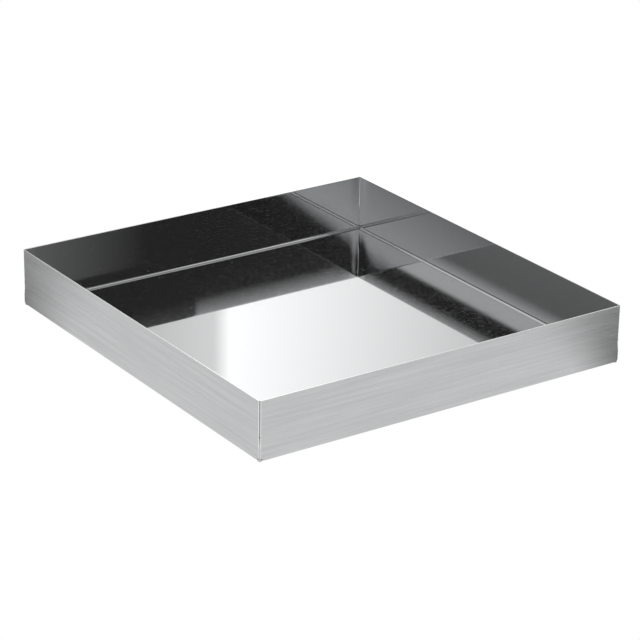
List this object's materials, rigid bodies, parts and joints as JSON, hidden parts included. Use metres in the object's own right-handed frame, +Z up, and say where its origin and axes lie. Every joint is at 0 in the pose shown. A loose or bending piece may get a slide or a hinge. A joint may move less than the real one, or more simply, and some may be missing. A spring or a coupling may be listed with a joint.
{
  "type": "mud pan",
  "caption": "Shallow open tray folded from one stainless steel sheet, with upright walls, a raw rim and corner grooves closed by weld at the foot.",
  "frame": {"origin": "middle of the underside, on the plane that the pan stands on", "axes": "+Z up out of the open top, +Y along the length, +X along the slightly shorter width"},
  "size_m": [0.4, 0.42, 0.058],
  "materials": {
    "stainless_sheet": "brushed along each wall outside, near mirror inside",
    "weld_metal": "ground and lightly polished weld metal"
  },
  "bodies": {
    "root": {"folded_sheet": "stainless_sheet", "seam_weld_front_left": "weld_metal", "seam_weld_front_right": "weld_metal", "seam_weld_back_right": "weld_metal", "seam_weld_back_left": "weld_metal", "relief_weld_front_left": "weld_metal", "relief_weld_front_right": "weld_metal", "relief_weld_back_right": "weld_metal", "relief_weld_back_left": "weld_metal"}
  },
  "joints": []
}
